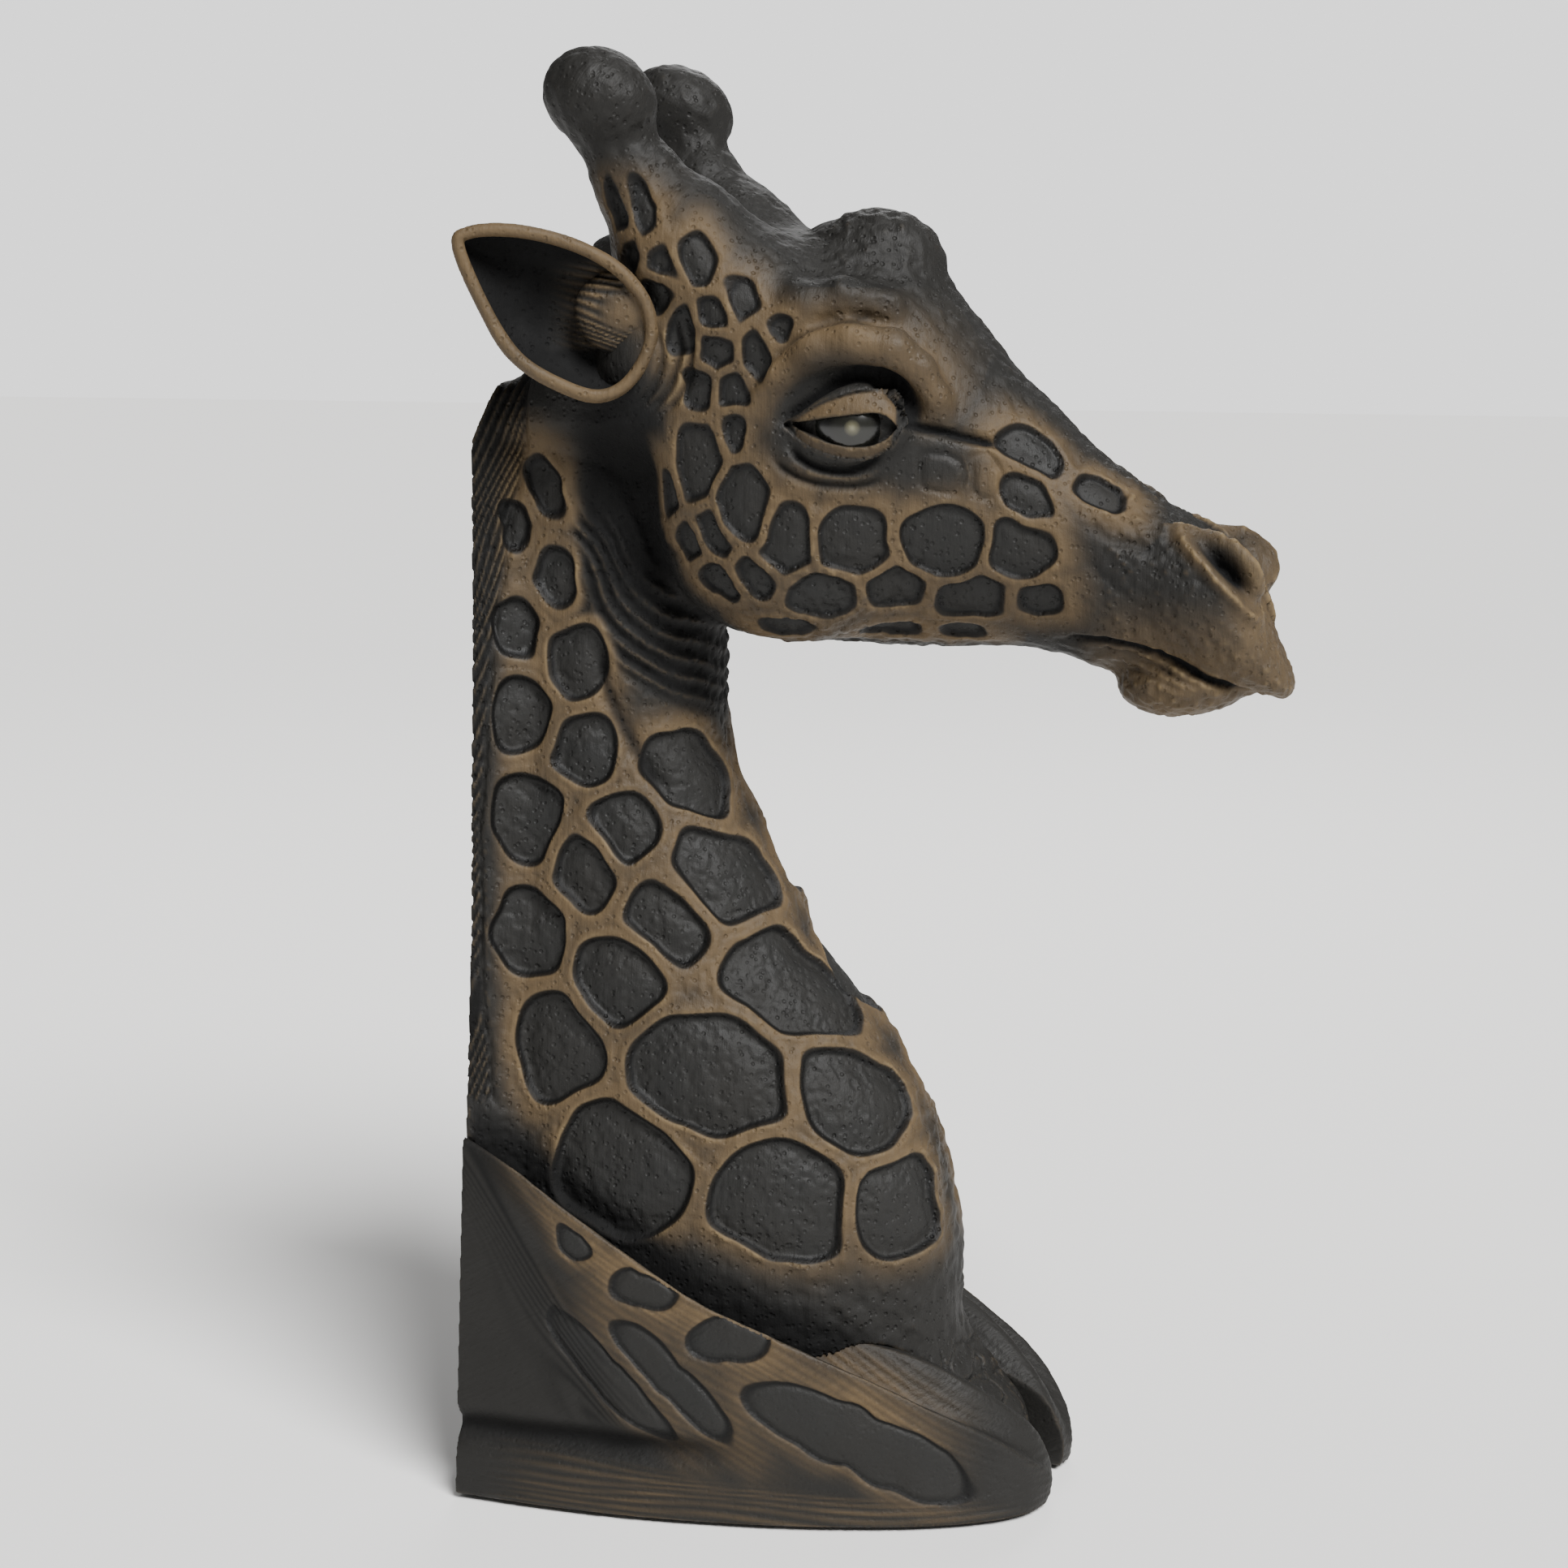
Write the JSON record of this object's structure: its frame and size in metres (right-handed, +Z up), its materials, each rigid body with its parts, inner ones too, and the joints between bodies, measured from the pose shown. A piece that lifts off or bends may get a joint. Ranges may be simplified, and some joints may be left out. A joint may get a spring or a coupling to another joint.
{
  "type": "carved giraffe statue",
  "caption": "Carved wooden giraffe bust with folded forelegs and a flat vertical back, patinated dark with a rubbed tan net of ridges round recessed spots.",
  "frame": {"origin": "on the floor, under the middle of the statue's bounding box", "axes": "+Z up, the giraffe faces +X, its flat back faces -X, and its left side is +Y"},
  "size_m": [0.192, 0.1052, 0.3501],
  "materials": {
    "patinated_wood": "carved hardwood, dark wax patina in the hollows and rubbed tan on the ridges, satin",
    "horn_wood": "carved hardwood, near-black patina, lightly textured, satin",
    "dowel_wood": "turned beech dowel, bare",
    "polished_eye": "polished dark stone bead, glossy",
    "base_felt": "black wool felt, matt"
  },
  "bodies": {
    "root": {"neck_and_chest": "patinated_wood", "head": "patinated_wood", "ear_right": "patinated_wood", "ear_left": "patinated_wood", "foreleg_right": "patinated_wood", "foreleg_left": "patinated_wood", "shin_right": "patinated_wood", "shin_left": "patinated_wood", "horn_right": "horn_wood", "horn_left": "horn_wood", "neck_tenon": "dowel_wood", "horn_dowel_right": "dowel_wood", "horn_dowel_left": "dowel_wood", "ear_peg_right": "dowel_wood", "ear_peg_left": "dowel_wood", "leg_dowels": "dowel_wood", "shin_dowels": "dowel_wood", "eye_right": "polished_eye", "eye_left": "polished_eye", "felt_pad": "base_felt"}
  },
  "joints": []
}
